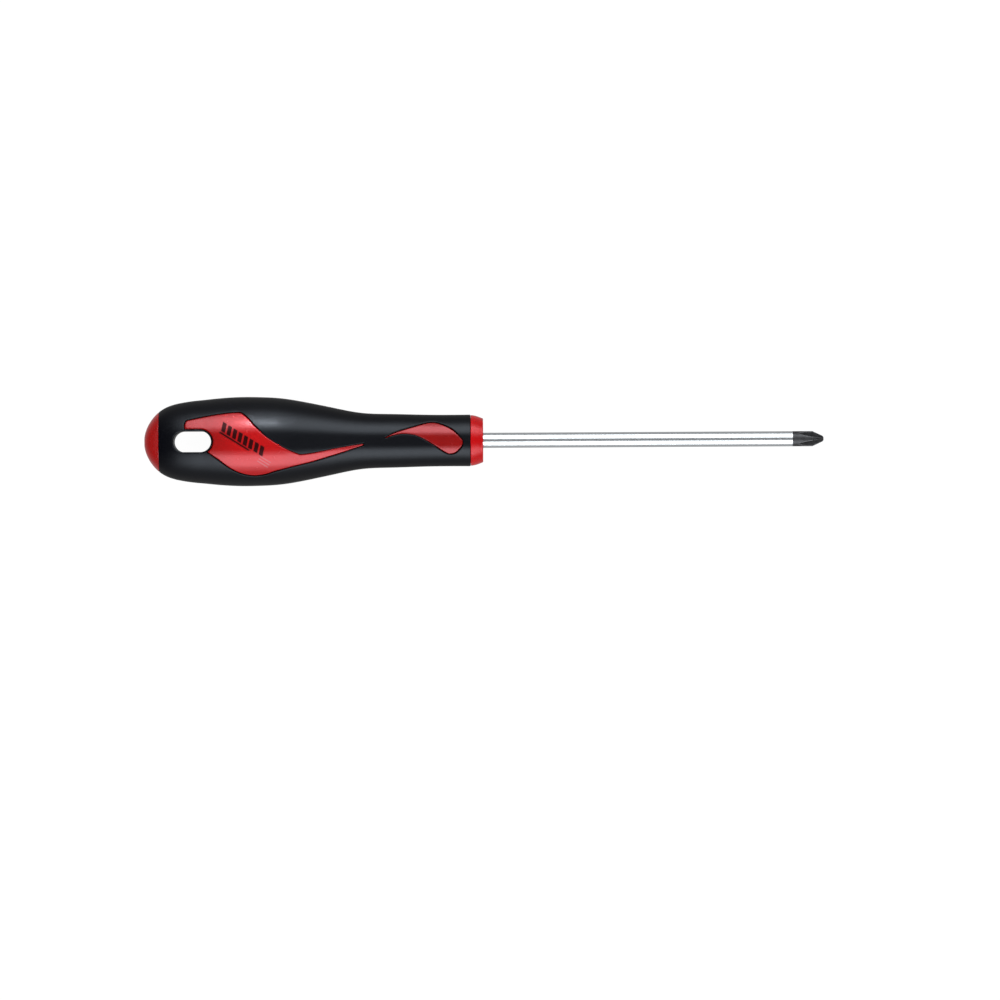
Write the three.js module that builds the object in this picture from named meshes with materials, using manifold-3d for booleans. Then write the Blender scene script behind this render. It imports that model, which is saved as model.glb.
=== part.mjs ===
// A size 1 cross-head screwdriver with a two-colour moulded handle: blade, core, body, end cap and soft grip.
// Millimetres, +Z up. The tool lies along X, its tip towards +X, its hanging slot along Z.
// Pieces are built along X from the handle's rear end, and the group at the end centres them on the origin.

import * as THREE from "three";
import { mergeVertices } from "three/addons/utils/BufferGeometryUtils.js";
import Module from "manifold-3d";

const wasm = await Module();
wasm.setup();

// Driving dimensions. A station is a distance from the rear end of the handle.
const OVERALL_LENGTH = 199.6;
const HANDLE_LENGTH = 99.6;
const CLEARANCE = 0.3; // between neighbouring pieces

// The handle's outer surface: [station, radius]. The two equal radii make the belly's flat stretch.
const HANDLE_PROFILE = [
  [0, 10.5], [4, 11.4], [12, 11.6], [20, 12.55], [27, 13.12], [33, 13.12], [40, 12.7],
  [48, 11.4], [56, 9.74], [64, 8.26], [72, 7.9], [84, 7.6], [96, 7.58],
];
const DOME_LENGTH = 12; // the rounded rear end
const DOME_STEPS = 6;
const RING_STATIONS = [16, 20, 23.5, 27, 33, 36.5, 40, 44, 48, 52, 56, 60, 64, 68, 72, 84];
const RING_SPACING = 0.2; // the least distance from a ring to the end of its piece
const LAND_HALF_ANGLE = THREE.MathUtils.degToRad(11); // half of the flat land above and below the axis
const ARC_STEPS = 7; // half of the steps in each round side of the section

// End cap
const CAP_LENGTH = 4.1;
const SPIGOT_RADIUS = 4.5;
const SPIGOT_END = 6.2;

// Soft grip
const GRIP_START = CAP_LENGTH + CLEARANCE;
const GRIP_END = 95.9;
const GRIP_INNER_SHARE = 0.83; // the grip's inner radius as a share of its outer radius

// Hanging slot, right through the handle along Z
const SLOT_CENTRE = 14.25;
const SLOT_LENGTH = 11.3;
const SLOT_WIDTH = 6.3;
const SLOT_LINER = 0.55; // thickness of the grip's skin inside the slot
const SLOT_END_STEPS = 5; // in each of its round ends

// Body
const PANEL_RECESS = 0.2; // the raised panels lie this far under the grip's surface
const COLLAR_START = GRIP_END + CLEARANCE;
const COLLAR_REAR_RADIUS = 7.43;
const COLLAR_FRONT_RADIUS = 6.56;
const COLLAR_EDGE = 0.4; // rounding of the collar's front edge

// Core
const CORE_START = 24;
const CORE_END = 95.5;
const CORE_REAR_RADIUS = 6.5;
const CORE_FRONT_RADIUS = 4;
const CORE_TAPER = [54, 64]; // where the radius falls from one to the other
const CORE_RIBS = { start: 27, end: 51, reach: 7.8, thickness: 1.6 };

// Blade
const BLADE_DIAMETER = 4.5;
const TANG_START = 28;
const WINGS = { start: 34, end: 44, width: 7.5, thickness: 1.4 };
const TIP_DIAMETER = 1.5; // the flat on the end of the cross tip
const TIP_HALF_ANGLE = THREE.MathUtils.degToRad(26.5);
const FLUTE_LENGTH = 7.5;
const FLUTE_ROOT = 0.45; // from the axis to the bottom of a flute, at the tip
const FLUTE_OVERRUN = 2; // how far the cut goes past the tip
const ROUND_SIDES = 24;

// The two raised panels, as seen from above: [station, distance across], clockwise. A bend is where the
// straight lines into a rounded corner would meet.
const FLAME_REAR = { slotEdge: [12.4, 3], bend: [11.65, 5.4], end: [12.8, 6.3] };
const FLAME_TOP = { points: [[18.5, 7.5], [24, 8.35], [28, 8.65]], bend: [29.6, 8.6] };
const FLAME_DIAGONAL = [[32.3, 5.1], [35.4, 2], [38.8, -0.4], [42.2, -2.4], [46, -4]];
const FLAME_STRIPE = [[49.5, -3.6], [57, -2.1], [64.5, -0.8]];
const FLAME_STRIPE_END = [64.5, -1.4];
const FLAME_BOTTOM = [
  [57, -3.9], [49.5, -6.2], [43.8, -7.6], [38.8, -8.9], [35.4, -9.9], [32, -10.2],
  [28.6, -9.5], [25.3, -7.9], [22, -5.4], [19.6, -3.7],
];
const DROP_TAIL = [[71, 0.8], [71, 1.05]];
const DROP_TOP = [
  [74, 2.5], [78.5, 3.98], [83, 5.25], [85.5, 5.4], [88.4, 4.45], [91, 2.9], [93.6, 0.1],
];
const DROP_BOTTOM = [
  [93.4, -1.6], [91.8, -3.5], [90.2, -4.1], [88.6, -3.7], [85.1, -1.3], [82, 0.6], [79.5, 1.7],
  [76, 2.05], [73.2, 1.6],
];
const OUTLINE_STEPS = 2; // in each curve, and between two points of a spline
const PRISM_REACH = 24; // the height and depth of every cut through the handle, from its axis

// Closed geometry to a solid and back.
function toSolid(geometry) {
  const bare = geometry.clone();
  bare.deleteAttribute("normal");
  bare.deleteAttribute("uv");
  const merged = mergeVertices(bare, 1e-4);
  return new wasm.Manifold(new wasm.Mesh({
    numProp: 3,
    vertProperties: new Float32Array(merged.attributes.position.array),
    triVerts: new Uint32Array(merged.index.array),
  }));
}

function toGeometry(solid) {
  const { vertProperties, triVerts } = solid.getMesh();
  const geometry = new THREE.BufferGeometry();
  geometry.setAttribute("position", new THREE.BufferAttribute(vertProperties, 3));
  geometry.setIndex(new THREE.BufferAttribute(triVerts, 1));
  geometry.computeVertexNormals();
  return geometry;
}

function piece(name, solid, color, roughness, metalness) {
  const material = new THREE.MeshStandardMaterial({ color, roughness, metalness });
  const mesh = new THREE.Mesh(toGeometry(solid), material);
  mesh.name = name;
  return mesh;
}

// The handle's outer radius at a station: the profile, rounded off by an ellipse over the dome.
const profileCurve = new THREE.CubicInterpolant(
  HANDLE_PROFILE.map(([station]) => station),
  HANDLE_PROFILE.map(([, radius]) => radius),
  1,
);

function handleRadius(station) {
  const [radius] = profileCurve.evaluate(station);
  const fromEdge = Math.max(0, 1 - station / DOME_LENGTH);
  return radius * Math.sqrt(1 - fromEdge ** 2);
}

// All stations of the handle's rings between two ends, closer together over the dome.
function stationsBetween(start, end) {
  const dome = [];
  for (let step = 1; step <= DOME_STEPS; step += 1) {
    dome.push(DOME_LENGTH * (1 - Math.cos((step / DOME_STEPS) * (Math.PI / 2))));
  }
  const low = start + RING_SPACING;
  const high = end - RING_SPACING;
  const inside = [...dome, ...RING_STATIONS].filter((station) => station > low && station < high);
  return [start, ...inside, end];
}

// The handle's section at unit radius: two arcs, joined by a flat land above and a flat land below.
function unitSection() {
  const side = Math.PI / 2 - LAND_HALF_ANGLE;
  const outline = new THREE.Path();
  outline.absarc(0, 0, 1, -side, side, false);
  outline.absarc(0, 0, 1, Math.PI - side, Math.PI + side, false);
  return outline.getPoints(ARC_STEPS);
}

// A closed solid with the handle's section at every station, from one end to the other.
function loft(start, end, radiusAt) {
  const section = unitSection();
  const stations = stationsBetween(start, end).filter((station) => radiusAt(station) > 0);
  const positions = [start, 0, 0];
  for (const station of stations) {
    const radius = radiusAt(station);
    for (const point of section) positions.push(station, radius * point.x, radius * point.y);
  }
  positions.push(end, 0, 0);
  const sides = section.length;
  const lastPoint = positions.length / 3 - 1;
  const lastRing = lastPoint - sides;
  const triangles = [];
  for (let j = 0; j < sides; j += 1) {
    const k = (j + 1) % sides;
    triangles.push(0, 1 + k, 1 + j, lastPoint, lastRing + j, lastRing + k);
    for (let ring = 1; ring < lastRing; ring += sides) {
      const next = ring + sides;
      triangles.push(ring + j, ring + k, next + k, ring + j, next + k, next + j);
    }
  }
  const geometry = new THREE.BufferGeometry();
  geometry.setAttribute("position", new THREE.Float32BufferAttribute(positions, 3));
  geometry.setIndex(triangles);
  return toSolid(geometry);
}

// A solid turned about the X axis from [station, radius] points that start and end on the axis.
function turned(profile) {
  const points = profile.map(([station, radius]) => new THREE.Vector2(radius, station));
  const geometry = new THREE.LatheGeometry(points, ROUND_SIDES, Math.PI / ROUND_SIDES);
  return toSolid(geometry.rotateZ(-Math.PI / 2));
}

function cylinder(start, end, radius) {
  return turned([[start, 0], [start, radius], [end, radius], [end, 0]]);
}

function block(start, end, width, height) {
  const geometry = new THREE.BoxGeometry(end - start, width, height);
  return toSolid(geometry.translate((start + end) / 2, 0, 0));
}

// An outline as seen from above, pushed outwards by a distance.
function outset(points, distance) {
  const count = points.length;
  return points.map((point, i) => {
    const before = point.clone().sub(points[(i + count - 1) % count]).normalize();
    const after = points[(i + 1) % count].clone().sub(point).normalize();
    const outward = new THREE.Vector2(before.y + after.y, -before.x - after.x).normalize();
    const stretch = outward.x * before.y - outward.y * before.x;
    return point.clone().addScaledVector(outward, distance / stretch);
  });
}

// An upright prism on an outline, from the level of the axis to above the handle, and its twin below,
// which is the same prism turned half a turn about the tool's axis.
function prismPair(points) {
  const shape = new THREE.Shape(points);
  const geometry = new THREE.ExtrudeGeometry(shape, { depth: PRISM_REACH, bevelEnabled: false });
  const above = toSolid(geometry);
  return above.add(above.rotate([180, 0, 0]));
}

const toPoints = (pairs) => pairs.map(([x, y]) => new THREE.Vector2(x, y));

function withoutRepeats(points) {
  return points.filter((point, i) => i === 0 || point.distanceTo(points[i - 1]) > 1e-6);
}

// The long panel starts over the slot, widens, crosses the handle and ends in a narrow stripe.
function flameOutline() {
  const shape = new THREE.Shape();
  shape.moveTo(...FLAME_BOTTOM.at(-1));
  shape.lineTo(SLOT_CENTRE, 0);
  shape.lineTo(...FLAME_REAR.slotEdge);
  shape.quadraticCurveTo(...FLAME_REAR.bend, ...FLAME_REAR.end);
  shape.splineThru(toPoints(FLAME_TOP.points));
  shape.quadraticCurveTo(...FLAME_TOP.bend, ...FLAME_DIAGONAL[0]);
  shape.splineThru(toPoints(FLAME_DIAGONAL.slice(1)));
  shape.splineThru(toPoints(FLAME_STRIPE));
  shape.lineTo(...FLAME_STRIPE_END);
  shape.splineThru(toPoints(FLAME_BOTTOM));
  return withoutRepeats(shape.getPoints(OUTLINE_STEPS)).slice(0, -1).reverse();
}

// The drop starts in a thin tail and ends round, near the collar.
function dropOutline() {
  const shape = new THREE.Shape();
  shape.moveTo(...DROP_TAIL[0]);
  shape.lineTo(...DROP_TAIL[1]);
  shape.splineThru(toPoints(DROP_TOP));
  shape.splineThru(toPoints(DROP_BOTTOM));
  return withoutRepeats(shape.getPoints(OUTLINE_STEPS)).reverse();
}

function panelPrisms(growth) {
  return prismPair(outset(flameOutline(), growth)).add(prismPair(outset(dropOutline(), growth)));
}

// The slot's stadium outline grown by a distance, cut right through the handle.
function slotPrism(growth) {
  const radius = SLOT_WIDTH / 2 + growth;
  const reach = (SLOT_LENGTH - SLOT_WIDTH) / 2;
  const shape = new THREE.Shape();
  shape.absarc(SLOT_CENTRE + reach, 0, radius, -Math.PI / 2, Math.PI / 2, false);
  shape.absarc(SLOT_CENTRE - reach, 0, radius, Math.PI / 2, (3 * Math.PI) / 2, false);
  const geometry = new THREE.ExtrudeGeometry(shape, {
    depth: 2 * PRISM_REACH,
    bevelEnabled: false,
    curveSegments: SLOT_END_STEPS,
  });
  return toSolid(geometry.translate(0, 0, -PRISM_REACH));
}

// The rod, its cone and its tang, with pressed wings and four flutes.
function blade() {
  const radius = BLADE_DIAMETER / 2;
  const tipRadius = TIP_DIAMETER / 2;
  const coneStart = OVERALL_LENGTH - (radius - tipRadius) / Math.tan(TIP_HALF_ANGLE);
  const rod = turned([
    [TANG_START, 0],
    [TANG_START, radius],
    [coneStart, radius],
    [OVERALL_LENGTH, tipRadius],
    [OVERALL_LENGTH, 0],
  ]);
  const wings = block(WINGS.start, WINGS.end, WINGS.width, WINGS.thickness);
  let solid = rod.add(wings);
  for (let quarter = 0; quarter < 4; quarter += 1) {
    solid = solid.subtract(flute(45 + 90 * quarter));
  }
  return solid;
}

// A square bar lying on one edge. The edge rises from the flute's bottom at the tip to the rod's surface.
function flute(angleDegrees) {
  const radius = BLADE_DIAMETER / 2;
  const side = BLADE_DIAMETER;
  const slope = Math.atan2(radius - FLUTE_ROOT, FLUTE_LENGTH);
  const bar = new THREE.BoxGeometry(2 * FLUTE_LENGTH, side, side);
  bar.rotateX(Math.PI / 4);
  bar.translate(FLUTE_OVERRUN - FLUTE_LENGTH, 0, side * Math.SQRT1_2);
  bar.rotateY(slope);
  bar.translate(OVERALL_LENGTH, 0, FLUTE_ROOT);
  return toSolid(bar).rotate([angleDegrees, 0, 0]);
}

// The core's outside: a turned shape with four ribs that key it to the body.
function coreOutside(growth) {
  const rear = CORE_REAR_RADIUS + growth;
  const front = CORE_FRONT_RADIUS + growth;
  const start = CORE_START - growth;
  const end = CORE_END + growth;
  const barrel = turned([
    [start, 0], [start, rear], [CORE_TAPER[0], rear], [CORE_TAPER[1], front], [end, front], [end, 0],
  ]);
  const { start: ribStart, end: ribEnd, reach, thickness } = CORE_RIBS;
  const long = 2 * (reach + growth);
  const thin = thickness + 2 * growth;
  const ribs = block(ribStart - growth, ribEnd + growth, long, thin)
    .add(block(ribStart - growth, ribEnd + growth, thin, long));
  return barrel.add(ribs);
}

function bladeHole(end) {
  const radius = BLADE_DIAMETER / 2 + CLEARANCE;
  const wingSlot = block(
    WINGS.start - CLEARANCE,
    WINGS.end + CLEARANCE,
    WINGS.width + 2 * CLEARANCE,
    WINGS.thickness + 2 * CLEARANCE,
  );
  return cylinder(TANG_START - CLEARANCE, end, radius).add(wingSlot);
}

function core() {
  return coreOutside(0).subtract(bladeHole(OVERALL_LENGTH));
}

// The hard body inside the grip, its raised panels and the collar in front of the grip.
function body() {
  const inside = loft(GRIP_START, COLLAR_START, (s) => handleRadius(s) * GRIP_INNER_SHARE - CLEARANCE);
  const surface = loft(GRIP_START, COLLAR_START, (s) => handleRadius(s) - PANEL_RECESS);
  const collar = turned([
    [COLLAR_START, 0],
    [COLLAR_START, COLLAR_REAR_RADIUS],
    [HANDLE_LENGTH - COLLAR_EDGE, COLLAR_FRONT_RADIUS],
    [HANDLE_LENGTH, COLLAR_FRONT_RADIUS - COLLAR_EDGE],
    [HANDLE_LENGTH, 0],
  ]);
  const recess = cylinder(0, SPIGOT_END + CLEARANCE, SPIGOT_RADIUS + CLEARANCE);
  return inside
    .add(surface.intersect(panelPrisms(0)))
    .add(collar)
    .subtract(slotPrism(SLOT_LINER + CLEARANCE))
    .subtract(coreOutside(CLEARANCE))
    .subtract(cylinder(CORE_START, OVERALL_LENGTH, BLADE_DIAMETER / 2 + CLEARANCE))
    .subtract(recess);
}

function endCap() {
  return loft(0, CAP_LENGTH, handleRadius).add(cylinder(CAP_LENGTH / 2, SPIGOT_END, SPIGOT_RADIUS));
}

// The soft skin over the body, open at both ends and at the panels, with a liner through the slot.
function softGrip() {
  const outside = loft(GRIP_START, GRIP_END, handleRadius);
  const hollow = loft(0, HANDLE_LENGTH, (s) => handleRadius(Math.min(s, GRIP_END)) * GRIP_INNER_SHARE);
  const liner = outside.intersect(slotPrism(SLOT_LINER));
  return outside
    .subtract(hollow)
    .subtract(panelPrisms(CLEARANCE))
    .add(liner)
    .subtract(slotPrism(0));
}

const RED = new THREE.Color("rgb(190, 24, 26)");
const screwdriver = new THREE.Group();
screwdriver.add(
  piece("blade", blade(), new THREE.Color("rgb(205, 208, 212)"), 0.12, 1),
  piece("core", core(), new THREE.Color("rgb(205, 203, 196)"), 0.6, 0),
  piece("body", body(), RED, 0.35, 0),
  piece("end_cap", endCap(), RED, 0.35, 0),
  piece("soft_grip", softGrip(), new THREE.Color("rgb(24, 24, 26)"), 0.6, 0),
);
screwdriver.position.x = -OVERALL_LENGTH / 2;

export default screwdriver;
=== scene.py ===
import math

import bmesh
import bpy
import numpy as np
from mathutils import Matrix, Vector
from mathutils.geometry import delaunay_2d_cdt
from mathutils.kdtree import KDTree


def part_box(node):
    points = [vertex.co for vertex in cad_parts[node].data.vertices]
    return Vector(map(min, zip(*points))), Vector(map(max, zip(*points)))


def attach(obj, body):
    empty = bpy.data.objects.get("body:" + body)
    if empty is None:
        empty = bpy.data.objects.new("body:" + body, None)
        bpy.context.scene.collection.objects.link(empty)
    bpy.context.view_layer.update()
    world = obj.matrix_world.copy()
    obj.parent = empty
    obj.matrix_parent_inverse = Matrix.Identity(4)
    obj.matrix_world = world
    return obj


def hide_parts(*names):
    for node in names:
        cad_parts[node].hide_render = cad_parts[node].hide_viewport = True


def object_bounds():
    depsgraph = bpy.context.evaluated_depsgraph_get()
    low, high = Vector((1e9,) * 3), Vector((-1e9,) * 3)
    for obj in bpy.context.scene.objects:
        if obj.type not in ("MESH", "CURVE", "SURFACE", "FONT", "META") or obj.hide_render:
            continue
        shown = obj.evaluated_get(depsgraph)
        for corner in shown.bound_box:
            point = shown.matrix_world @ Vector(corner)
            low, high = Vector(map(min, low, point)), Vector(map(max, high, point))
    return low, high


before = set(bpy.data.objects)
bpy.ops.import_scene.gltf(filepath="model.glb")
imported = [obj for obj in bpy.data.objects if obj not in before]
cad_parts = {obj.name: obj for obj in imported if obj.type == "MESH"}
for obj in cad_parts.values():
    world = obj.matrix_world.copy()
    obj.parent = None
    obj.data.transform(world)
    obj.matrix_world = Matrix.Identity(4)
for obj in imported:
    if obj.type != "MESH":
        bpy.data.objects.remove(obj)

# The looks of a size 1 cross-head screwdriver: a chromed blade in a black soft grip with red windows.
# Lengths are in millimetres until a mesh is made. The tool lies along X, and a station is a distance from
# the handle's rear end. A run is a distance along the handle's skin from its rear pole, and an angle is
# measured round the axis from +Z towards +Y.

MM = 0.001
CAD_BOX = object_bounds()


def cad(node, corner, axis):
    """A size of a CAD node's box, in millimetres."""
    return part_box(node)[corner][axis] / MM


# Driving sizes. Ends and diameters come from the CAD's boxes in model.glb. The shapes follow the CAD's to
# within a few tenths of a millimetre, with rounded edges that the CAD leaves out.
REAR = CAD_BOX[0].x / MM
OVERALL_LENGTH = CAD_BOX[1].x / MM - REAR
GRIP_START = cad("soft_grip", 0, 0) - REAR
GRIP_END = cad("soft_grip", 1, 0) - REAR
CAP_GAP = 0.06  # between the end cap and the grip
CAP_END = GRIP_START - CAP_GAP
COLLAR_FRONT = cad("body", 1, 0) - REAR
COLLAR_GAP = 0.04  # between the grip and the collar
COLLAR_START = GRIP_END + COLLAR_GAP
BLADE_RADIUS = cad("blade", 1, 2)
TANG_START = cad("blade", 0, 0) - REAR
SPIGOT_END = cad("end_cap", 1, 0) - REAR

HANDLE_PROFILE = [
    (0, 12.4), (4, 12.75), (8, 12.36), (12, 12), (20, 12.53), (27, 13.04), (30, 13.1), (33, 13.06),
    (40, 12.7), (48, 11.4), (56, 9.74), (64, 8.26), (72, 7.9), (84, 7.6), (96, 7.58),
]
DOME_LENGTH = 16
LAND_HALF_ANGLE = math.radians(11)
LAND_SOFTNESS = 0.009  # rounding of the land's edges, as a share of the radius
LEAST_COSINE = 0.05  # keeps the land's distance finite at the sides, where it plays no part
DOME_STEPS = 300
GRIP_STEPS = 900
ANGLE_STEPS = 2001
SLOPE_REACH = 0.05  # the skin's slope is taken over this distance to each side
MEAN_RADIUS = 10.5  # unrolls the skin: an angle times this is a distance
GRIP_INNER_SHARE = 0.83
BODY_CLEARANCE = 0.3

SLOT_CENTRE = 14.25
SLOT_REACH = 2.5  # half the distance between the centres of its round ends
SLOT_RADIUS = 3.15
SLOT_LINER = 0.45
SEAM_GAP = 0.12  # between the grip and the red panels
SLOT_STEPS = 36  # points on each half of the slot's outline
LAP_TRIALS = 4001  # how finely the slot's outline is searched for its closest point
CUT_MARGIN = 0.12  # outline points this close to the slot's lining are left out

# Outlines of the raised panels, as seen from above: (station, distance across).
FLAME_REAR = {"slot_edge": (12.4, 3), "bend": (11.65, 5.4), "end": (12.8, 6.3)}
FLAME_TOP = {"points": [(18.5, 7.5), (24, 8.35), (28, 8.65)], "bend": (29.6, 8.6)}
FLAME_DIAGONAL = [(32.3, 5.1), (35.4, 2), (38.8, -0.4), (42.2, -2.4), (46, -4)]
FLAME_STRIPE = [(49.5, -3.6), (57, -2.1), (64.5, -0.8)]
FLAME_STRIPE_END = (64.5, -1.4)
FLAME_BOTTOM = [
    (57, -3.9), (49.5, -6.2), (43.8, -7.6), (38.8, -8.9), (35.4, -9.9), (32, -10.2),
    (28.6, -9.5), (25.3, -7.9), (22, -5.4), (19.6, -3.7),
]
DROP_TAIL = [(71, 0.8), (71, 1.05)]
DROP_TOP = [(74, 2.5), (78.5, 3.98), (83, 5.25), (85.5, 5.4), (88.4, 4.45), (91, 2.9), (93.6, 0.1)]
DROP_BOTTOM = [
    (93.4, -1.6), (91.8, -3.5), (90.2, -4.1), (88.6, -3.7), (85.1, -1.3), (82, 0.6), (79.5, 1.7),
    (76, 2.05), (73.2, 1.6),
]

# Spacing of the mesh's points. Close rows follow every edge at the offsets, and an even grid fills the rest.
OUTLINE_SPACING = 0.4
GRID_SPACING = 0.7
HIDDEN_SPACING = 2.2
HALF_TURN_POINTS = 49
HIDDEN_STRIDE = 4  # the hidden skin uses every fourth angle
EDGE_OFFSETS = (0.02, 0.07, 0.15, 0.25, 0.36, 0.5, 0.7, 0.95, 1.3, 1.8)
PANEL_REACH = 1.2  # the panels' close rows stop here
BRIDGE_OFFSET = 0.95  # the row between the close ones and the even ones at the grip's ends
EVEN_FROM = 1.3  # the even rows start this many spacings from the grip's ends
OFFSET_KEPT = 0.93  # a point keeps this share of its offset from every edge
CROWDING = 0.35  # points lie at least this share of their offset apart
CLOSEST, FARTHEST = 0.012, 0.28  # limits of that distance
GRID_MARGIN = 0.3  # between the close rows and the grid
RIM_MARGIN = 0.01
FAN_STEP = math.radians(25)  # about the angle between the points of a fan round a sharp corner
MITRE_LEAST = 0.3  # limits how far a sharp corner is pushed out
TINY = 1e-12  # keeps a divisor from being zero
LAP_SLACK = 1e-9
MERGE_REACH = 1e-6  # points of a flat region closer than this are one
WELD_REACH = 2e-6  # in metres, for the points of a finished mesh
SLIVER_REACH = 1e-7  # in metres, for faces without any area
SHARP_ANGLE = math.radians(38)  # an edge that turns by less is shaded smooth

# Relief
GRIP_EDGE_RADIUS = 0.2
GRIP_REAR_RADIUS = 0.15
GRIP_FRONT_RADIUS = 0.25
SLOT_EDGE_RADIUS = 0.35
PANEL_RECESS = 0.2
PANEL_EDGE_RADIUS = 0.35
CLOSE_STEPS = (0.75, 0.5, 0.3, 0.15, 0.05, 0)
CAP_EDGE_RADIUS = 0.15
SPIGOT_RADIUS = 4.5
CAP_ROWS = 36
GATE_MARK = {"radius": 1.3, "depth": 0.12, "steepness": 1.5}

# Collar and the hidden inside of the body
COLLAR_REAR_RADIUS = 7.43
COLLAR_FRONT_RADIUS = 6.56
COLLAR_EDGE = 0.35
COLLAR_REAR_EDGE = 0.12
COLLAR_SHOULDER = 1.3  # where the curved shoulder's control point lies, from the collar's rear
COLLAR_NOSE_TURN = 65  # degrees that the front edge's arc takes up
BLADE_FIT = 0.03
BLADE_FILLET = 0.25
CORE_REAR_RADIUS = 6.5
CORE_FRONT_RADIUS = 4
CORE_TAPER = (54, 64)
CORE_RIBS = (27, 51)

# Blade
BLADE_SIDES = 192
BLADE_ROWS = {"rod": 40, "black": 6, "flutes": 88}
BLADE_CHAMFER = 0.3
TANG_EVEN_FROM = 6  # the rod's even rows start this far from the tang's end
BLACK_LENGTH = 9.1
TIP_DIAMETER = 1.4
TIP_HALF_ANGLE = math.radians(25.2)
TIP_ROUNDING = 0.4
FLUTE_LENGTH = 7.5
FLUTE_ROOT = 0.4
FLUTE_STRAIGHT = 0.35  # how straight the flute's bottom runs: 1 is a straight line
WINGS = {"start": 34, "end": 44, "width": 7.5, "thickness": 1.4}

# Print on the flame: a row of slanted bars with a rule beside it, and a block of short lines. Each starts at
# a point seen from above. Along and beside are distances from there, in the direction of the row and square
# to it, and filled is the printed share of each pitch.
PRINT_TURN = math.radians(-32)
BARS = {
    "start": (22.9, 4.1), "pitch": 1.85, "count": 8, "slant": 0.35,
    "filled": (0.12, 0.84), "beside": (-0.9, 1.8),
}
RULE = {"along": (0.3, 10.5), "beside": (-1.65, -1.1)}
LINES = {"start": (33.3, -6.0), "pitch": 0.8, "count": 3, "filled": (0.2, 0.6), "along": (0, 3.6)}

# Colours, 0 to 255
RED_DARK = (122, 8, 6)
RED_LIGHT = (134, 10, 8)
# Painted light: the brighter red laid over the collar and the flame's front
RED_PAINTED_LIGHT = (174, 8, 11)
RED_WORN = (150, 26, 26)
INK = (10, 3, 4)
PALE_INK = (126, 104, 108)
RUBBER_DARK = (1, 1, 4)
RUBBER_LIGHT = (4, 4, 7)
RUBBER_WORN = (24, 24, 27)
CHROME_DARK = (232, 236, 240)
CHROME_LIGHT = (238, 241, 244)
OXIDE_DARK = (48, 48, 50)
OXIDE_LIGHT = (68, 68, 70)
OXIDE_WORN = (150, 150, 152)
CORE_DARK = (196, 194, 186)
CORE_LIGHT = (212, 210, 204)
# Painted light: the red is made brighter over the collar and, at a share, over the flame's front
PAINTED_LIGHT_STATIONS = (23, 62)  # painted light: the red is made brighter over the flame's front, between these stations
PAINTED_LIGHT_SHARE = 0.55

# Gloss
RED_SPECULAR = 1.0
RED_TINT = (0.8, 0.28, 0.31)
RED_IOR = 1.6
RUBBER_TINT = (0.84, 0.9, 1.0)
NOISE_LOW, NOISE_HIGH = 0.3, 0.7  # the range that a noise mostly stays in


# ---------------- shape of the handle

def smooth_curve(pairs):
    """A natural cubic spline through (x, y) pairs, as a function of x."""
    x, y = np.array(pairs, float).T
    step = np.diff(x)
    count = len(x)
    matrix = np.eye(count)
    wanted = np.zeros(count)
    for i in range(1, count - 1):
        matrix[i, i - 1:i + 2] = step[i - 1], 2 * (step[i - 1] + step[i]), step[i]
        wanted[i] = 6 * ((y[i + 1] - y[i]) / step[i] - (y[i] - y[i - 1]) / step[i - 1])
    bending = np.linalg.solve(matrix, wanted)

    def evaluate(at):
        at = np.clip(at, x[0], x[-1])
        i = np.clip(np.searchsorted(x, at) - 1, 0, count - 2)
        left, right = x[i + 1] - at, at - x[i]
        cubic = (bending[i] * left ** 3 + bending[i + 1] * right ** 3) / (6 * step[i])
        low = (y[i] / step[i] - bending[i] * step[i] / 6) * left
        high = (y[i + 1] / step[i] - bending[i + 1] * step[i] / 6) * right
        return cubic + low + high

    return evaluate


profile = smooth_curve(HANDLE_PROFILE)


def handle_radius(station):
    """The handle's outer radius, rounded off by an ellipse over the rear dome."""
    from_edge = np.clip(1 - station / DOME_LENGTH, 0, 1)
    return profile(station) * np.sqrt(1 - from_edge ** 2)


def meridian_table():
    """Stations, radii and runs, closely spaced from the rear pole to the end of the grip."""
    turn = np.linspace(0, math.pi / 2, DOME_STEPS)
    station = np.concatenate([
        DOME_LENGTH * (1 - np.cos(turn)),
        np.linspace(DOME_LENGTH, GRIP_END, GRIP_STEPS)[1:],
    ])
    radius = handle_radius(station)
    run = np.concatenate([[0], np.cumsum(np.hypot(np.diff(station), np.diff(radius)))])
    return station, radius, run


STATIONS, RADII, RUNS = meridian_table()


def run_at(station):
    return np.interp(station, STATIONS, RUNS)


def radius_at(run):
    return np.interp(run, RUNS, RADII)


def station_at(run):
    return np.interp(run, RUNS, STATIONS)


def section(angle):
    """The section's radius as a share of the full radius: 1 round the sides, less over the flat lands."""
    flat = math.cos(LAND_HALF_ANGLE) / np.maximum(np.abs(np.cos(angle)), LEAST_COSINE)
    soft = LAND_SOFTNESS
    return -soft * np.log(np.exp(-1 / soft) + np.exp(-flat / soft))


def skin(where, height=0.0, share=1.0):
    """Points of the skin at (run, angle) rows, drawn in to a share of the radius and raised by a height."""
    run, angle = where[:, 0], where[:, 1]
    station, radius = station_at(run), radius_at(run)
    before, after = run - SLOPE_REACH, run + SLOPE_REACH
    rise = radius_at(after) - radius_at(before)
    along = station_at(after) - station_at(before)
    length = np.hypot(rise, along)
    x = station - height * rise / length
    out = share * radius * section(angle) + height * along / length
    return np.column_stack([x, out * np.sin(angle), out * np.cos(angle)])


ANGLE_TABLE = np.linspace(-math.pi / 2, math.pi / 2, ANGLE_STEPS)
ACROSS_TABLE = section(ANGLE_TABLE) * np.sin(ANGLE_TABLE)


def unroll(plan, share=1.0):
    """(run, angle) rows of points given from above as (station, distance across), on the upper half."""
    station, across = plan[:, 0], plan[:, 1]
    angle = np.interp(across / (share * handle_radius(station)), ACROSS_TABLE, ANGLE_TABLE)
    return np.column_stack([run_at(station), angle])


# ---------------- outlines

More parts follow.
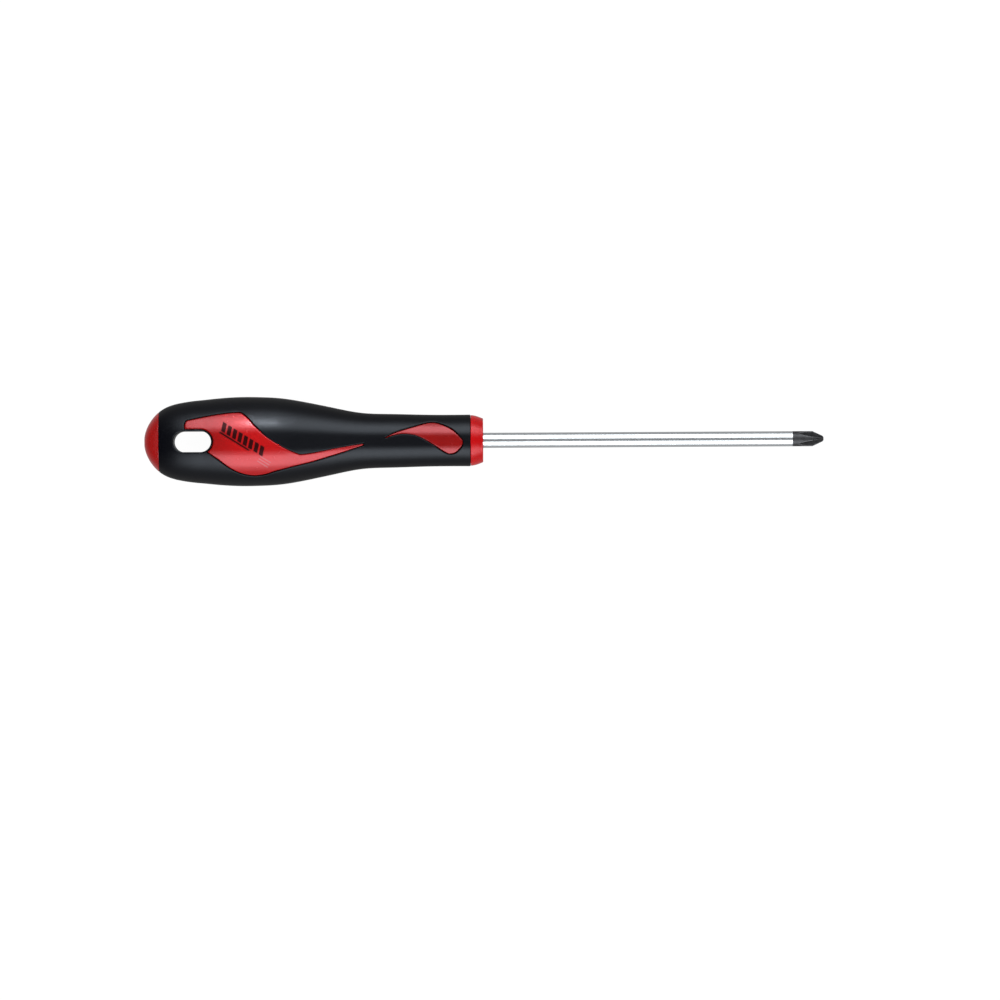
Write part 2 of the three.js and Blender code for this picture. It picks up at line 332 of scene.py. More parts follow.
def shares_of(length, least=1):
    """Even steps along a length, as shares of it from the first step to 1, in a column."""
    steps = max(least, math.ceil(length / OUTLINE_SPACING))
    return np.arange(1, steps + 1)[:, None] / steps


def line(start, end):
    start, end = np.array(start, float), np.array(end, float)
    return start + shares_of(np.linalg.norm(end - start)) * (end - start)


def bend(start, control, end):
    """A rounded corner: a quadratic curve from start to end, without its first point."""
    start, control, end = (np.array(p, float) for p in (start, control, end))
    t = shares_of(np.linalg.norm(control - start) + np.linalg.norm(end - control), least=2)
    return (1 - t) ** 2 * start + 2 * t * (1 - t) * control + t ** 2 * end


def spline(start, points):
    """A smooth curve from start through the points, without its first point."""
    knots = np.array([start, start, *points, points[-1]], float)
    rows = []
    for before, first, second, after in zip(knots, knots[1:], knots[2:], knots[3:]):
        t = shares_of(np.linalg.norm(second - first))
        speed_in, speed_out = (second - before) / 2, (after - first) / 2
        rows.append(
            (2 * t ** 3 - 3 * t ** 2 + 1) * first + (t ** 3 - 2 * t ** 2 + t) * speed_in
            + (3 * t ** 2 - 2 * t ** 3) * second + (t ** 3 - t ** 2) * speed_out
        )
    return np.vstack(rows)


def flame_outline():
    """The long panel: it starts over the slot, widens, crosses the handle and ends in a narrow stripe."""
    centre = (SLOT_CENTRE, 0)
    return np.vstack([
        line(centre, FLAME_REAR["slot_edge"]),
        bend(FLAME_REAR["slot_edge"], FLAME_REAR["bend"], FLAME_REAR["end"]),
        spline(FLAME_REAR["end"], FLAME_TOP["points"]),
        bend(FLAME_TOP["points"][-1], FLAME_TOP["bend"], FLAME_DIAGONAL[0]),
        spline(FLAME_DIAGONAL[0], FLAME_DIAGONAL[1:]),
        spline(FLAME_DIAGONAL[-1], FLAME_STRIPE),
        line(FLAME_STRIPE[-1], FLAME_STRIPE_END),
        spline(FLAME_STRIPE_END, FLAME_BOTTOM),
        line(FLAME_BOTTOM[-1], centre),
    ])


def drop_outline():
    """The drop: it starts in a thin tail and ends round, near the collar."""
    return np.vstack([
        line(*DROP_TAIL),
        spline(DROP_TAIL[1], DROP_TOP),
        spline(DROP_TOP[-1], DROP_BOTTOM),
        line(DROP_BOTTOM[-1], DROP_TAIL[0]),
    ])


def outset(outline, distance):
    """A clockwise outline pushed outwards."""
    before = outline - np.roll(outline, 1, 0)
    after = np.roll(outline, -1, 0) - outline
    before /= np.linalg.norm(before, axis=1)[:, None]
    after /= np.linalg.norm(after, axis=1)[:, None]
    both = before + after
    outward = np.column_stack([-both[:, 1], both[:, 0]])
    outward /= np.linalg.norm(outward, axis=1)[:, None]
    stretch = np.maximum(MITRE_LEAST, outward[:, 1] * before[:, 0] - outward[:, 0] * before[:, 1])
    return outline + outward * (distance / stretch)[:, None]


def slot_distance(plan):
    """How far points lie outside the slot's edge."""
    x = np.maximum(np.abs(plan[:, 0] - SLOT_CENTRE) - SLOT_REACH, 0)
    return np.hypot(x, plan[:, 1]) - SLOT_RADIUS


def slot_point(lap, growth):
    """A point of the slot's outline grown by a distance. A lap is 0 in front and -1 or 1 at the rear."""
    radius = SLOT_RADIUS + growth
    quarter = radius * math.pi / 2
    side = 2 * SLOT_REACH
    length = abs(lap) * (2 * quarter + side)
    if length <= quarter:
        x, y = SLOT_REACH + radius * math.cos(length / radius), radius * math.sin(length / radius)
    elif length <= quarter + side:
        x, y = SLOT_REACH - (length - quarter), radius
    else:
        rest = (length - quarter - side) / radius
        x, y = -SLOT_REACH - radius * math.sin(rest), radius * math.cos(rest)
    return SLOT_CENTRE + x, math.copysign(y, lap)


def slot_lap(point, growth):
    """The lap at which the grown outline passes closest to a point."""
    laps = np.linspace(-1, 1, LAP_TRIALS)
    places = np.array([slot_point(lap, growth) for lap in laps])
    return float(laps[np.argmin(np.hypot(*(places - point).T))])


def slot_laps(growth, extra=()):
    """Laps spaced along the grown outline, with the extra ones and their mirror images."""
    laps = {round((k + 0.5) / SLOT_STEPS, 6) for k in range(SLOT_STEPS)}
    for lap in extra:
        near = min(laps, key=lambda other: abs(other - abs(lap)))
        laps.discard(near)
        laps.add(abs(lap))
    return sorted({-lap for lap in laps} | laps)


class FlamePanel:
    """The flame outline where the slot's lining cuts into it."""

    def __init__(self, outline, growth):
        self.growth = growth
        outside = slot_distance(outline) > growth + CUT_MARGIN
        first = int(np.flatnonzero(outside & ~np.roll(outside, 1))[0])
        outline = np.roll(outline, -first, 0)
        outside = np.roll(outside, -first)
        self.edge = outline[outside]
        start = slot_lap(self.edge[0], growth)
        end = slot_lap(self.edge[-1], growth)
        self.laps = slot_laps(growth, (start, end))
        self.in_front = [lap for lap in self.laps if end - LAP_SLACK <= lap <= start + LAP_SLACK]
        below = [lap for lap in self.laps if lap <= end + LAP_SLACK]
        above = [lap for lap in self.laps if lap >= start - LAP_SLACK]
        self.behind = below[::-1] + above[::-1]

    def lining(self, laps):
        return np.array([slot_point(lap, self.growth) for lap in laps])

    def island(self):
        """The panel's own outline: the flame's edge and then the lining in front, back to the start."""
        return np.vstack([self.edge, self.lining(self.in_front)])

    def union(self):
        """The outline of the flame and the slot's lining together."""
        return np.vstack([self.edge, self.lining(self.behind)])


# ---------------- flat triangulation

def inside(points, loop):
    """Which points lie inside a closed loop."""
    x, y = points[:, 0][:, None], points[:, 1][:, None]
    x0, y0 = loop[:, 0], loop[:, 1]
    x1, y1 = np.roll(x0, -1), np.roll(y0, -1)
    crosses = (y0 > y) != (y1 > y)
    rise = np.where(y1 == y0, TINY, y1 - y0)
    return (crosses & (x < (x1 - x0) * (y - y0) / rise + x0)).sum(1) % 2 == 1


def distance_to_any(points, loops):
    return np.min([distance_to(points, loop) for loop in loops], axis=0)


def distance_to(points, loop):
    """Distances along the skin from (run, angle) rows to a closed loop of such rows."""
    radius = radius_at(points[:, 0])[:, None]
    ax = loop[:, 0] - points[:, 0][:, None]
    ay = (loop[:, 1] - points[:, 1][:, None]) * radius
    ex, ey = np.roll(ax, -1, 1) - ax, np.roll(ay, -1, 1) - ay
    share = np.clip(-(ax * ex + ay * ey) / np.maximum(ex ** 2 + ey ** 2, TINY), 0, 1)
    return np.hypot(ax + share * ex, ay + share * ey).min(1)


def edge_points(loop, offsets):
    """Points on both sides of a loop at each offset, with fans round its sharp corners."""
    radius = radius_at(loop[:, 0])
    rows = []
    for i in range(len(loop)):
        here, r = loop[i], radius[i]
        back, ahead = loop[i - 1], loop[(i + 1) % len(loop)]
        first = np.array([here[0] - back[0], (here[1] - back[1]) * r])
        second = np.array([ahead[0] - here[0], (ahead[1] - here[1]) * r])
        turn_in, turn_out = math.atan2(first[1], first[0]), math.atan2(second[1], second[0])
        turn = (turn_out - turn_in + math.pi) % (2 * math.pi) - math.pi
        fan = max(1, round(abs(turn) / FAN_STEP))
        turns = [turn_in + turn * (k / fan) for k in range(fan + 1)] if fan > 1 else [turn_in + turn / 2]
        for direction in turns:
            normal = np.array([-math.sin(direction), math.cos(direction) / r])
            for offset in offsets:
                rows.append((offset, *(here + normal * offset)))
                rows.append((offset, *(here - normal * offset)))
    return np.array(rows)


def thin_out(points, offsets, least):
    """Drops points that crowd an earlier one."""
    order = np.argsort(offsets, kind="stable")
    tree = KDTree(len(points))
    for i in range(len(points)):
        tree.insert((*points[i], 0), i)
    tree.balance()
    rank = np.empty(len(points), int)
    rank[order] = np.arange(len(points))
    dropped = np.zeros(len(points), bool)
    for i in order:
        if dropped[i]:
            continue
        for _, j, _ in tree.find_range((*points[i], 0), least[i]):
            if rank[j] > rank[i]:
                dropped[j] = True
    return ~dropped


def triangulate(rim, holes, loose):
    """The points of a flat region and its triangles: inside the rim, outside the holes."""
    loops = [rim, *holes]
    points = np.vstack([*loops, loose]) if len(loose) else np.vstack(loops)
    flat = points * (1, MEAN_RADIUS)
    edges, start = [], 0
    for loop in loops:
        count = len(loop)
        edges += [(start + i, start + (i + 1) % count) for i in range(count)]
        start += count
    made = delaunay_2d_cdt([Vector(p) for p in flat], edges, [], 0, MERGE_REACH)
    origin = [ids[0] if ids else -1 for ids in made[3]]
    triangles = np.array([[origin[i] for i in face] for face in made[2]])
    assert triangles.min() >= 0, "crossing outlines"
    middle = points[triangles].mean(1)
    keep = inside(middle, rim)
    for hole in holes:
        keep &= ~inside(middle, hole)
    return points, triangles[keep]


# ---------------- building meshes

def add_object(name, data):
    """A new object in the scene."""
    thing = bpy.data.objects.new(name, data)
    bpy.context.scene.collection.objects.link(thing)
    return thing


class Shell:
    """Points and faces of one closed piece."""

    def __init__(self):
        self.points = []
        self.faces = []

    def add(self, points):
        first = len(self.points)
        self.points.extend(map(tuple, points))
        return np.arange(first, first + len(points))

    def fill(self, ids, triangles):
        self.faces.extend(tuple(ids[k] for k in triangle) for triangle in triangles)

    def strip(self, one, other, closed=False):
        """Faces between two rows of as many points."""
        count = len(one)
        for i in range(count if closed else count - 1):
            j = (i + 1) % count
            self.faces.append((one[i], one[j], other[j], other[i]))

    def cap(self, ring, centre):
        """A fan from a ring to a point."""
        (middle,) = self.add([centre])
        count = len(ring)
        self.faces.extend((ring[i], ring[(i + 1) % count], middle) for i in range(count))

    def join(self, ring, points, start_centre=None):
        """A new ring, joined to the one before it. The first one is closed by a fan instead."""
        new = self.add(points)
        if ring is None:
            self.cap(new, start_centre)
        else:
            self.strip(ring, new, closed=True)
        return new

    def with_twin(self):
        """Adds a copy turned half a turn about the tool's axis."""
        count = len(self.points)
        self.points += [(x, -y, -z) for x, y, z in self.points]
        self.faces += [tuple(i + count for i in face) for face in self.faces]

    def to_object(self, name):
        mesh = bpy.data.meshes.new(name)
        moved = [((x + REAR) * MM, y * MM, z * MM) for x, y, z in self.points]
        mesh.from_pydata(moved, [], self.faces)
        work = bmesh.new()
        work.from_mesh(mesh)
        bmesh.ops.remove_doubles(work, verts=work.verts, dist=WELD_REACH)
        bmesh.ops.dissolve_degenerate(work, edges=work.edges, dist=SLIVER_REACH)
        bmesh.ops.recalc_face_normals(work, faces=work.faces)
        for face in work.faces:
            face.smooth = True
        for edge in work.edges:
            edge.smooth = edge.calc_face_angle(0) < SHARP_ANGLE
        work.to_mesh(mesh)
        work.free()
        return add_object(name, mesh)


HALF_ANGLES = np.linspace(-math.pi / 2, math.pi / 2, HALF_TURN_POINTS)
FULL_ANGLES = np.concatenate([HALF_ANGLES[:-1], HALF_ANGLES[:-1] + math.pi])


def spread_runs(start, end, spacing, graded):
    """Runs from start to end, with closer ones at both ends where the edge is rounded."""
    steps = max(1, round((end - start) / spacing))
    runs = np.linspace(start, end, steps + 1)
    if not graded:
        return runs
    close = np.array([offset for offset in EDGE_OFFSETS if offset < spacing])
    even_from = EVEN_FROM * spacing
    middle = runs[(runs > start + even_from) & (runs < end - even_from)]
    rear = [start, *(start + close), start + BRIDGE_OFFSET]
    front = [end - BRIDGE_OFFSET, *(end - close)[::-1], end]
    return np.concatenate([rear, middle, front])


def rectangle(runs):
    """The rim of the upper half: rear row, the +Y seam, front row, the -Y seam, as (run, angle) rows."""
    right, left = math.pi / 2, -math.pi / 2
    rear = [(runs[0], angle) for angle in HALF_ANGLES]
    up = [(run, right) for run in runs[1:-1]]
    front = [(runs[-1], angle) for angle in HALF_ANGLES[::-1]]
    down = [(run, left) for run in runs[-2:0:-1]]
    count = len(HALF_ANGLES)
    rows = np.array(rear + up + front + down)
    rear_ids = np.arange(count)
    front_ids = np.arange(count + len(up), 2 * count + len(up))[::-1]
    return rows, rear_ids, front_ids


def grid(runs, angles):
    return np.array([(run, angle) for run in runs[1:-1] for angle in angles])


def rounded_edge(distance, radius):
    """The drop of a rounded edge at a distance from it."""
    reach = np.clip(radius - distance, 0, radius)
    return np.sqrt(radius ** 2 - reach ** 2) - radius


def fine_points(loops, runs, offsets, on_piece):
    """Loose points for a visible skin: close rows along the loops and a grid elsewhere."""
    rows = np.vstack([edge_points(loop, offsets) for loop in loops])
    level, places = rows[:, 0], rows[:, 1:]
    good = (distance_to_any(places, loops) > OFFSET_KEPT * level) & on_piece(places)
    level, places = level[good], places[good]
    least = np.clip(CROWDING * level, CLOSEST, FARTHEST)
    kept = thin_out(places * (1, MEAN_RADIUS), level, least)
    close = places[kept]
    wide = grid(runs, HALF_ANGLES[1:-1])
    wide = wide[on_piece(wide)]
    wide = wide[distance_to_any(wide, loops) > offsets[-1] + GRID_MARGIN]
    loose = np.vstack([close, wide])
    edge = np.array([runs[0], runs[-1]])
    clear = np.abs(loose[:, :1] - edge).min(1) > RIM_MARGIN
    return loose[clear]


def skin_loops(ids, rim, loops):
    """The point numbers of each loop that follows the rim in a triangulated skin."""
    first = len(rim)
    found = []
    for loop in loops:
        found.append(ids[first:first + len(loop)])
        first += len(loop)
    return found


def hidden_skin(shell, start, end, flame, drop, height):
    """The coarse skin under the grip, or inside it, with the panels and the slot cut out."""
    runs = spread_runs(start, end, HIDDEN_SPACING, False)
    rim, rear, front = rectangle(runs)
    share = GRIP_INNER_SHARE
    windows = [unroll(flame.union(), share), unroll(drop, share)]
    sparse = grid(runs, HALF_ANGLES[HIDDEN_STRIDE:-HIDDEN_STRIDE:HIDDEN_STRIDE])
    for loop in windows:
        sparse = sparse[~inside(sparse, loop) & (distance_to(sparse, loop) > GRID_SPACING)]
    points, triangles = triangulate(rim, windows, sparse)
    ids = shell.add(skin(points, height, share))
    shell.fill(ids, triangles)
    return ids[rear], ids[front], skin_loops(ids, rim, windows)


def wall_flame(shell, upper, lower, flame):
    """Walls from the flame's upper edge to the hidden skin, and round the slot to the level of the axis."""
    count = len(flame.edge)
    ring = dict(zip(flame.laps, shell.add([(x, y, 0) for x, y in flame.lining(flame.laps)])))
    front = [ring[lap] for lap in flame.in_front]
    behind = [ring[lap] for lap in flame.behind]
    shell.strip(upper[:count], lower[:count])
    shell.strip(upper[count:], front)
    shell.strip(lower[count:], behind)
    shell.faces.append((upper[count - 1], upper[count], front[0], lower[count], lower[count - 1]))
    shell.faces.append((upper[0], upper[-1], front[-1], lower[-1], lower[0]))


def make_grip():
    """The soft skin over the body, open at both ends and at the panels, with a lining through the slot."""
    flame = FlamePanel(outset(flame_outline(), SEAM_GAP), SLOT_LINER)
    drop = outset(drop_outline(), SEAM_GAP)
    slot = np.array([slot_point(lap, 0) for lap in slot_laps(0)])
    windows = [unroll(flame.island()), unroll(drop)]
    hole = unroll(slot)
    openings = [*windows, hole]
    runs = spread_runs(run_at(GRIP_START), run_at(GRIP_END), GRID_SPACING, True)
    rim, rear, front = rectangle(runs)

    def on_grip(places):
        good = inside(places, rim)
        for loop in openings:
            good &= ~inside(places, loop)
        return good

    loose = fine_points(openings, runs, EDGE_OFFSETS, on_grip)
    points, triangles = triangulate(rim, openings, loose)
    height = rounded_edge(distance_to_any(points, windows), GRIP_EDGE_RADIUS)
    height += rounded_edge(distance_to(points, hole), SLOT_EDGE_RADIUS)
    height += rounded_edge(points[:, 0] - runs[0], GRIP_REAR_RADIUS)
    height += rounded_edge(runs[-1] - points[:, 0], GRIP_FRONT_RADIUS)
    shell = Shell()
    outer = shell.add(skin(points, height))
    shell.fill(outer, triangles)
    upper_flame, upper_drop, upper_slot = skin_loops(outer, rim, openings)

    lower_rear, lower_front, (lower_flame, lower_drop) = hidden_skin(shell, runs[0], runs[-1], flame, drop, 0)
    shell.strip(outer[rear], lower_rear)
    shell.strip(outer[front], lower_front)
    wall_flame(shell, upper_flame, lower_flame, flame)
    shell.strip(upper_drop, lower_drop, closed=True)
    shell.strip(upper_slot, shell.add([(x, y, 0) for x, y in slot]), closed=True)
    shell.with_twin()
    return shell.to_object("soft_grip_skin")


def raised_panel(shell, outline):
    """The visible top of a red panel, with a rounded edge. Gives the point numbers of its outline."""
    loop = unroll(outline)
    runs = spread_runs(loop[:, 0].min(), loop[:, 0].max(), GRID_SPACING, False)
    offsets = [offset for offset in EDGE_OFFSETS if offset < PANEL_REACH]
    loose = fine_points([loop], runs, offsets, lambda places: inside(places, loop))
    points, triangles = triangulate(loop, [], loose)
    height = rounded_edge(distance_to(points, loop), PANEL_EDGE_RADIUS) - PANEL_RECESS
    ids = shell.add(skin(points, height))
    shell.fill(ids, triangles)
    return ids[:len(loop)]


def full_ring(half_row, count):
    """A ring all round the handle, from a half row's point numbers and those of its twin."""
    return np.concatenate([half_row[:-1], half_row[:-1] + count])


def circle(station, radius, angles):
    """Points round the axis at a station. The radius may differ from angle to angle."""
    along = np.full(len(angles), station)
    return np.column_stack([along, radius * np.sin(angles), radius * np.cos(angles)])


def turn_on(shell, ring, outline):
    """Goes on from a ring through (station, radius) points, each a new ring, and closes on the axis."""
    for station, radius in outline:
        if radius == 0:
            shell.cap(ring, (station, 0, 0))
            return
        ring = shell.join(ring, circle(station, radius, FULL_ANGLES))


def arc(centre, radius, start, end, steps):
    """Points of an arc in (station, radius), its angles in degrees from the station axis."""
    turns = np.radians(np.linspace(start, end, steps + 1))
    return [(centre[0] + radius * math.cos(t), centre[1] + radius * math.sin(t)) for t in turns]


def collar_outline(bore):
    """The collar, from the grip round to the blade's hole, as (station, radius) points."""
    rear_corner = COLLAR_START + COLLAR_REAR_EDGE
    front_corner = COLLAR_FRONT - COLLAR_EDGE
    hole = bore + BLADE_FILLET
    shoulder = bend(
        (rear_corner, COLLAR_REAR_RADIUS),
        (COLLAR_START + COLLAR_SHOULDER, COLLAR_REAR_RADIUS),
        (front_corner, COLLAR_FRONT_RADIUS),
    )
    return [
        (COLLAR_START, COLLAR_REAR_RADIUS - COLLAR_REAR_EDGE),
        *arc((rear_corner, COLLAR_REAR_RADIUS - COLLAR_REAR_EDGE), COLLAR_REAR_EDGE, 180, 90, 4),
        *shoulder,
        *arc((front_corner, COLLAR_FRONT_RADIUS - COLLAR_EDGE), COLLAR_EDGE, COLLAR_NOSE_TURN, 0, 5),
        (COLLAR_FRONT, hole),
        *arc((COLLAR_FRONT - BLADE_FILLET, hole), BLADE_FILLET, 0, -90, 3)[1:],
    ]


def cavity_outline(bore):
    """The room for the core, from the blade's hole to the rear, as (station, radius) points."""
    core_start = cad("core", 0, 0) - REAR - BODY_CLEARANCE
    core_end = cad("core", 1, 0) - REAR + BODY_CLEARANCE
    rib_start, rib_end = CORE_RIBS[0] - BODY_CLEARANCE, CORE_RIBS[1] + BODY_CLEARANCE
    barrel, tube = CORE_REAR_RADIUS + BODY_CLEARANCE, CORE_FRONT_RADIUS + BODY_CLEARANCE
    ribs = cad("core", 1, 2) + 2 * BODY_CLEARANCE
    return [
        (core_end, bore), (core_end, tube), (CORE_TAPER[1], tube), (CORE_TAPER[0], barrel), (rib_end, barrel),
        (rib_end, ribs), (rib_start, ribs), (rib_start, barrel), (core_start, barrel), (core_start, 0),
    ]


def make_body():
    """The hard body inside the grip, its raised panels and the collar in front of the grip."""
    flame = FlamePanel(flame_outline(), SLOT_LINER + SEAM_GAP)
    drop = drop_outline()
    shell = Shell()
    start, end = run_at(GRIP_START), run_at(GRIP_END)
    upper_flame = raised_panel(shell, flame.island())
    upper_drop = raised_panel(shell, drop)
    rear, front, (lower_flame, lower_drop) = hidden_skin(shell, start, end, flame, drop, -BODY_CLEARANCE)
    wall_flame(shell, upper_flame, lower_flame, flame)
    shell.strip(upper_drop, lower_drop, closed=True)
    half = len(shell.points)
    shell.with_twin()
    bore = BLADE_RADIUS + BLADE_FIT
    turn_on(shell, full_ring(front, half), collar_outline(bore) + cavity_outline(bore))
    recess = SPIGOT_RADIUS + BODY_CLEARANCE
    recess_end = SPIGOT_END + BODY_CLEARANCE
    turn_on(shell, full_ring(rear, half), [(GRIP_START, recess), (recess_end, recess), (recess_end, 0)])
    return shell.to_object("hard_body")


def make_cap():
    """The dome that closes the handle, with the spigot that holds it."""
    shell = Shell()
    end = run_at(CAP_END)
    runs = np.concatenate([
        np.linspace(0, end - CAP_EDGE_RADIUS, CAP_ROWS)[1:],
        end - np.array(CLOSE_STEPS) * CAP_EDGE_RADIUS,
    ])
    ring = None
    for run in runs:
        where = np.array([(run, angle) for angle in FULL_ANGLES])
        height = rounded_edge(end - where[:, 0], CAP_EDGE_RADIUS)
        fall = GATE_MARK["steepness"] * (1 - (where[:, 0] / GATE_MARK["radius"]) ** 2)
        height -= GATE_MARK["depth"] * np.clip(fall, 0, 1)
        ring = shell.join(ring, skin(where, height), start_centre=(GATE_MARK["depth"], 0, 0))
    turn_on(shell, ring, [(CAP_END, SPIGOT_RADIUS), (SPIGOT_END, SPIGOT_RADIUS), (SPIGOT_END, 0)])
    return shell.to_object("end_cap_dome")


def blade_radius(station, angle):
    """The blade's radius at a station and angles: the rod, its cone and the four flutes cut into them."""
    tip = TIP_DIAMETER / 2
    cone = tip + (OVERALL_LENGTH - station) * math.tan(TIP_HALF_ANGLE)
    body = min(BLADE_RADIUS, cone) + rounded_edge(OVERALL_LENGTH - station, TIP_ROUNDING)
    share = np.clip((OVERALL_LENGTH - station) / FLUTE_LENGTH, 0, 1)
    rise = FLUTE_STRAIGHT * share + (1 - FLUTE_STRAIGHT) * share ** 3
    root = FLUTE_ROOT + (BLADE_RADIUS - FLUTE_ROOT) * rise
    across = (angle - math.pi / 4) % (math.pi / 2)
    across = np.minimum(across, math.pi / 2 - across)
    flute = root / np.maximum(np.cos(across) - np.sin(across), 1e-3)
    return np.minimum(body, np.where(share < 1, flute, body))


def add_wings(shell):
    """The tang's flat wings, a closed box through the rod. Corners count up along X, then Y, then Z."""
    half_width, half_height = WINGS["width"] / 2, WINGS["thickness"] / 2
    corners = shell.add([
        (x, y, z)
        for x in (WINGS["start"], WINGS["end"])
        for y in (-half_width, half_width)
        for z in (-half_height, half_height)
    ])
    for side in ((0, 1, 3, 2), (4, 6, 7, 5), (0, 4, 5, 1), (2, 3, 7, 6), (0, 2, 6, 4), (1, 5, 7, 3)):
        shell.faces.append(tuple(corners[list(side)]))


def make_blade():
    """The rod with its blackened cross tip, and the winged tang inside the handle, as one piece."""
    shell = Shell()
    angles = np.arange(BLADE_SIDES) * 2 * math.pi / BLADE_SIDES
    shank_end = OVERALL_LENGTH - BLACK_LENGTH
    flutes_start = OVERALL_LENGTH - FLUTE_LENGTH
    stations = np.concatenate([
        [TANG_START, TANG_START + BLADE_CHAMFER],
        np.linspace(TANG_START + TANG_EVEN_FROM, shank_end, BLADE_ROWS["rod"]),
        np.linspace(shank_end, flutes_start, BLADE_ROWS["black"])[1:],
        np.linspace(flutes_start, OVERALL_LENGTH - TIP_ROUNDING, BLADE_ROWS["flutes"])[1:],
        OVERALL_LENGTH - TIP_ROUNDING * np.array(CLOSE_STEPS),
    ])
    ring = None
    for station in stations:
        radius = blade_radius(station, angles)
        if station == TANG_START:
            radius = radius - BLADE_CHAMFER
        ring = shell.join(ring, circle(station, radius, angles), start_centre=(station, 0, 0))
    shell.cap(ring, (OVERALL_LENGTH, 0, 0))
    add_wings(shell)
    return shell.to_object("chromed_blade")


# ---------------- materials

def linear(red, green, blue):
    """A colour as the eye names it, 0 to 255, as linear light."""
    shares = (level / 255 for level in (red, green, blue))
    return tuple(s / 12.92 if s <= 0.04045 else ((s + 0.055) / 1.055) ** 2.4 for s in shares)


class NodeTree:
    """The node tree of a material or the world, with short calls for the nodes used more than once."""

    def __init__(self, owner, coordinate):
        owner.use_nodes = True
        self.nodes = owner.node_tree.nodes
        self.place = self.nodes.new("ShaderNodeTexCoord").outputs[coordinate]

    def give(self, socket, value):
        """Links a socket to a node's output, or sets its value. A colour gets its alpha here."""
        if isinstance(value, bpy.types.NodeSocket):
            self.nodes.id_data.links.new(value, socket)
        else:
            socket.default_value = (*value, 1) if socket.type == "RGBA" else value

    def node(self, kind, inputs=None, **settings):
        made = self.nodes.new(kind)
        for key, value in settings.items():
            setattr(made, key, value)
        for key, value in (inputs or {}).items():
            self.give(made.inputs[key], value)
        return made

    def axes(self):
        """X, Y and Z of the place: in metres on a material's object, or of a direction in the world."""
        return self.node("ShaderNodeSeparateXYZ", {"Vector": self.place}).outputs

    def span(self, value, low, high, from_low=0.0, from_high=1.0):
        """Goes from low to high while the value goes from from_low to from_high, and stays there."""
        inputs = {"Value": value, "From Min": from_low, "From Max": from_high, "To Min": low, "To Max": high}
        return self.node("ShaderNodeMapRange", inputs).outputs["Result"]


class Paint(NodeTree):
    """A material."""

    def __init__(self, name):
        self.material = bpy.data.materials.new(name)
        super().__init__(self.material, "Object")

    def stretched(self, scale):
        return self.node("ShaderNodeMapping", {"Vector": self.place, "Scale": scale}).outputs["Vector"]

    def noise(self, scale, detail=3.0, roughness=0.55, vector=None):
        inputs = {"Vector": vector or self.place, "Scale": scale, "Detail": detail, "Roughness": roughness}
        return self.node("ShaderNodeTexNoise", inputs).outputs["Fac"]

    def math(self, operation, *values):
        return self.node("ShaderNodeMath", dict(enumerate(values)), operation=operation).outputs[0]

    def times(self, one, other):
        return self.math("MULTIPLY", one, other)

    def varied(self, noise, low, high):
        """A value that goes from low to high with a noise."""
        return self.span(noise, low, high, NOISE_LOW, NOISE_HIGH)

    def within(self, value, low, high, soft):
        """1 between two values and 0 outside, with soft edges."""
        rise = self.span(value, 0, 1, low - soft, low + soft)
        fall = self.span(value, 1, 0, high - soft, high + soft)
        return self.times(rise, fall)

    def worn_edges(self, low, high):
        """1 on sharp outward edges and 0 elsewhere."""
        return self.span(self.node("ShaderNodeNewGeometry").outputs["Pointiness"], 0, 1, low, high)

    def blend(self, factor, one, other):
        """One colour where the factor is 0 and the other where it is 1."""
        made = self.node("ShaderNodeMix", {"Factor": factor}, data_type="RGBA")
        one_colour, other_colour = (socket for socket in made.inputs if socket.type == "RGBA")
        self.give(one_colour, one)
        self.give(other_colour, other)
        return next(socket for socket in made.outputs if socket.type == "RGBA")

    def mottled(self, noise, dark, light):
        """A colour that goes from dark to light with a noise."""
        return self.blend(self.varied(noise, 0, 1), linear(*dark), linear(*light))

    def cover(self, colour, factor, over, share):
        """A colour laid over another where the factor is 1, at a share of its strength."""
        return self.blend(self.times(factor, share), colour, linear(*over))

    def bump(self, height, depth):
        inputs = {"Height": height, "Distance": depth, "Strength": 1.0}
        return self.node("ShaderNodeBump", inputs).outputs["Normal"]

    def set(self, **inputs):
        """Sets the shader's inputs, named with an underscore for each space."""
        for key, value in inputs.items():
            self.give(self.nodes["Principled BSDF"].inputs[key.replace("_", " ")], value)


def print_place(paint, x, y, start):
    """How far a point lies from a start along the printed row, and square to it, in millimetres."""
    found = []
    for direction in (PRINT_TURN, PRINT_TURN + math.pi / 2):
        per_x, per_y = math.cos(direction) / MM, math.sin(direction) / MM
        offset = -((start[0] + REAR) * MM * per_x + start[1] * MM * per_y)
        found.append(paint.math("MULTIPLY_ADD", x, per_x, paint.math("MULTIPLY_ADD", y, per_y, offset)))
    return found


